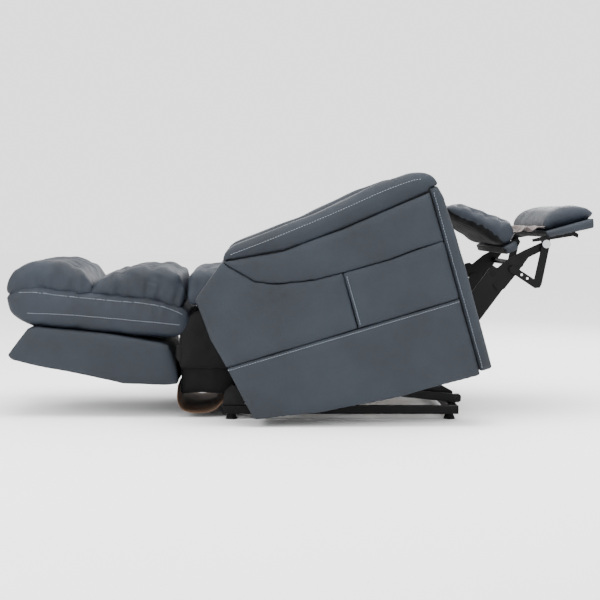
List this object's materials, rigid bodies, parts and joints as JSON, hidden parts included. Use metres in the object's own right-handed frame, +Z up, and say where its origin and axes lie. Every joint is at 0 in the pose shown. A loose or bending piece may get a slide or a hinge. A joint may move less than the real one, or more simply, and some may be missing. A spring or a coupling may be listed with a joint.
{
  "type": "lift recliner chair",
  "caption": "Powered lift recliner chair laid flat with the seat tipped back: padded leather arms, back and footrest on a steel linkage and a low lift base.",
  "frame": {"origin": "on the floor under the middle of the chair as stored, laid flat", "axes": "+X towards the feet, +Y towards the sitter's left, +Z up"},
  "size_m": [1.8662, 0.914, 0.7665],
  "materials": {
    "leather": "soft semi-matt grain",
    "timber": "raw plywood",
    "black_cloth": "woven dust cover",
    "rubber": "matt",
    "zinc": "zinc plated",
    "bright_steel": "ground rod",
    "black_plastic": "moulded",
    "black_metal": "satin black powder coat"
  },
  "bodies": {
    "base": {"base_tube_left": "black_metal", "base_tube_right": "black_metal", "base_cross_front": "black_metal", "base_cross_middle": "black_metal", "base_cross_rear": "black_metal", "base_lift_brackets": "black_metal", "base_rear_ears": "black_metal", "base_feet": "rubber"},
    "lift_arms": {"lift_arms": "black_metal", "lift_torque_tube": "black_metal"},
    "lift_links": {"lift_links": "black_metal"},
    "lift_actuator_case": {"lift_actuator_body": "black_plastic"},
    "lift_actuator_thrust": {"lift_actuator_rod": "bright_steel"},
    "carriage": {"carriage_rails": "black_metal", "carriage_cross_members": "black_metal"},
    "tilt_actuator_case": {"tilt_actuator_body": "black_plastic"},
    "tilt_actuator_thrust": {"tilt_actuator_rod": "bright_steel"},
    "seat": {"seat_side_plate_left": "black_metal", "seat_side_plate_right": "black_metal", "seat_inner_plate_left": "black_metal", "seat_inner_plate_right": "black_metal", "seat_rails": "black_metal", "seat_cross_tubes": "black_metal", "seat_deck": "timber", "seat_cushion": "leather", "control_box": "black_plastic", "footrest_actuator_body": "black_plastic", "arm_side_panels_left": "leather", "arm_frame_left": "timber", "arm_saddle_left": "leather", "arm_cap_left": "leather", "arm_post_left": "leather", "arm_side_panels_right": "leather", "arm_frame_right": "timber", "arm_saddle_right": "leather", "arm_cap_right": "leather", "arm_post_right": "leather"},
    "recline_actuator_case": {"recline_actuator_body": "black_plastic"},
    "recline_actuator_thrust": {"recline_actuator_rod": "bright_steel"},
    "backrest": {"back_hinge_plates": "black_metal", "back_hinge_tube": "black_metal", "back_frame": "timber", "back_shell": "leather", "back_lower_cover": "black_cloth", "back_cushion_base": "leather", "back_cushion_head": "leather", "back_cushion_middle": "leather", "back_cushion_lower": "leather", "rear_flap": "leather"},
    "footrest_drive": {"footrest_lower_links": "black_metal", "footrest_drive_tube": "black_metal"},
    "footrest_upper": {"footrest_upper_links": "black_metal"},
    "footrest_front": {"footrest_front_links": "black_metal", "footrest_levers": "black_metal", "footrest_pivot_caps": "zinc"},
    "footrest_rest": {"footrest_pad_brackets": "black_metal", "footrest_board": "timber", "footrest_pad": "leather"},
    "footrest_yoke": {"footrest_actuator_rod": "bright_steel"},
    "chaise": {"chaise_pad": "leather"}
  },
  "joints": [
    {"name": "lift", "type": "hinge", "parent": "base", "child": "lift_arms", "pos_m": [0.445, 0, 0.075], "axis": [0, 1, 0], "range_deg": [0, 62]},
    {"name": "carriage_turn", "type": "hinge", "parent": "lift_arms", "child": "carriage", "pos_m": [0.045, 0, 0.1], "axis": [0, 1, 0], "range_deg": [-34.01, 0.01]},
    {"name": "lift_link_turn", "type": "hinge", "parent": "base", "child": "lift_links", "pos_m": [0.503, 0, 0.056], "axis": [0, 1, 0], "range_deg": [0, 60.97]},
    {"name": "lift_actuator_turn", "type": "hinge", "parent": "base", "child": "lift_actuator_case", "pos_m": [-0.147, 0, 0.071], "axis": [0, 1, 0], "range_deg": [-0.2, 2.15]},
    {"name": "lift_actuator_slide", "type": "slide", "parent": "lift_actuator_case", "child": "lift_actuator_thrust", "axis": [0.9948, 0, 0.1017], "range_m": [-0.0005, 0.0555]},
    {"name": "seat_tilt", "type": "hinge", "parent": "carriage", "child": "seat", "pos_m": [0.045, 0, 0.1], "axis": [0, 1, 0], "range_deg": [0, 15.5]},
    {"name": "tilt_actuator_turn", "type": "hinge", "parent": "carriage", "child": "tilt_actuator_case", "pos_m": [0.145, 0, 0.096], "axis": [0, 1, 0], "range_deg": [-0.2, 20.7]},
    {"name": "tilt_actuator_slide", "type": "slide", "parent": "tilt_actuator_case", "child": "tilt_actuator_thrust", "axis": [0.6463, 0, 0.7631], "range_m": [-0.0185, 0.0005]},
    {"name": "recline", "type": "hinge", "parent": "seat", "child": "backrest", "pos_m": [-0.0887, 0, 0.395], "axis": [0, 1, 0], "range_deg": [0, 53.5]},
    {"name": "recline_actuator_turn", "type": "hinge", "parent": "seat", "child": "recline_actuator_case", "pos_m": [0.11801, 0, 0.35685], "axis": [0, 1, 0], "range_deg": [-0.2, 11.43]},
    {"name": "recline_actuator_slide", "type": "slide", "parent": "recline_actuator_case", "child": "recline_actuator_thrust", "axis": [-0.961, 0, -0.2764], "range_m": [-0.0005, 0.0728]},
    {"name": "footrest", "type": "hinge", "parent": "seat", "child": "footrest_drive", "pos_m": [0.51687, 0, 0.26199], "axis": [0, -1, 0], "range_deg": [0, 131.6]},
    {"name": "chaise_turn", "type": "hinge", "parent": "seat", "child": "chaise", "pos_m": [0.46729, 0, 0.61664], "axis": [0, 1, 0], "range_deg": [0, 62.2], "deforming": ["chaise_pad"]},
    {"name": "footrest_upper_turn", "type": "hinge", "parent": "seat", "child": "footrest_upper", "pos_m": [0.49655, 0, 0.29787], "axis": [0, -1, 0], "range_deg": [0, 131.8]},
    {"name": "footrest_front_turn", "type": "hinge", "parent": "footrest_drive", "child": "footrest_front", "pos_m": [0.63347, 0, 0.41782], "axis": [0, -1, 0], "range_deg": [-131.8, 0]},
    {"name": "footrest_pad_turn", "type": "hinge", "parent": "footrest_front", "child": "footrest_rest", "pos_m": [0.78009, 0, 0.54773], "axis": [0, 1, 0], "range_deg": [0, 84.2]},
    {"name": "footrest_yoke_slide", "type": "slide", "parent": "seat", "child": "footrest_yoke", "axis": [-0.9636, 0, -0.2672], "range_m": [0, 0.1008]}
  ],
  "couplings": [
    {"joint": "carriage_turn", "follows": "lift", "ratio": -0.54839},
    {"joint": "lift_link_turn", "follows": "lift", "ratio": 0.98009},
    {"joint": "lift_actuator_turn", "follows": "lift", "ratio": 0.031444},
    {"joint": "lift_actuator_slide", "follows": "lift", "m_per_rad": 0.050802},
    {"joint": "tilt_actuator_turn", "follows": "seat_tilt", "ratio": 1.3226},
    {"joint": "tilt_actuator_slide", "follows": "seat_tilt", "m_per_rad": -0.066535},
    {"joint": "recline_actuator_turn", "follows": "recline", "ratio": 0.20997},
    {"joint": "recline_actuator_slide", "follows": "recline", "m_per_rad": 0.077459},
    {"joint": "chaise_turn", "follows": "footrest", "ratio": 0.47113},
    {"joint": "footrest_upper_turn", "follows": "footrest", "ratio": 1},
    {"joint": "footrest_front_turn", "follows": "footrest", "ratio": -1},
    {"joint": "footrest_pad_turn", "follows": "footrest", "ratio": 0.6383},
    {"joint": "footrest_yoke_slide", "follows": "footrest", "m_per_rad": 0.043683}
  ]
}
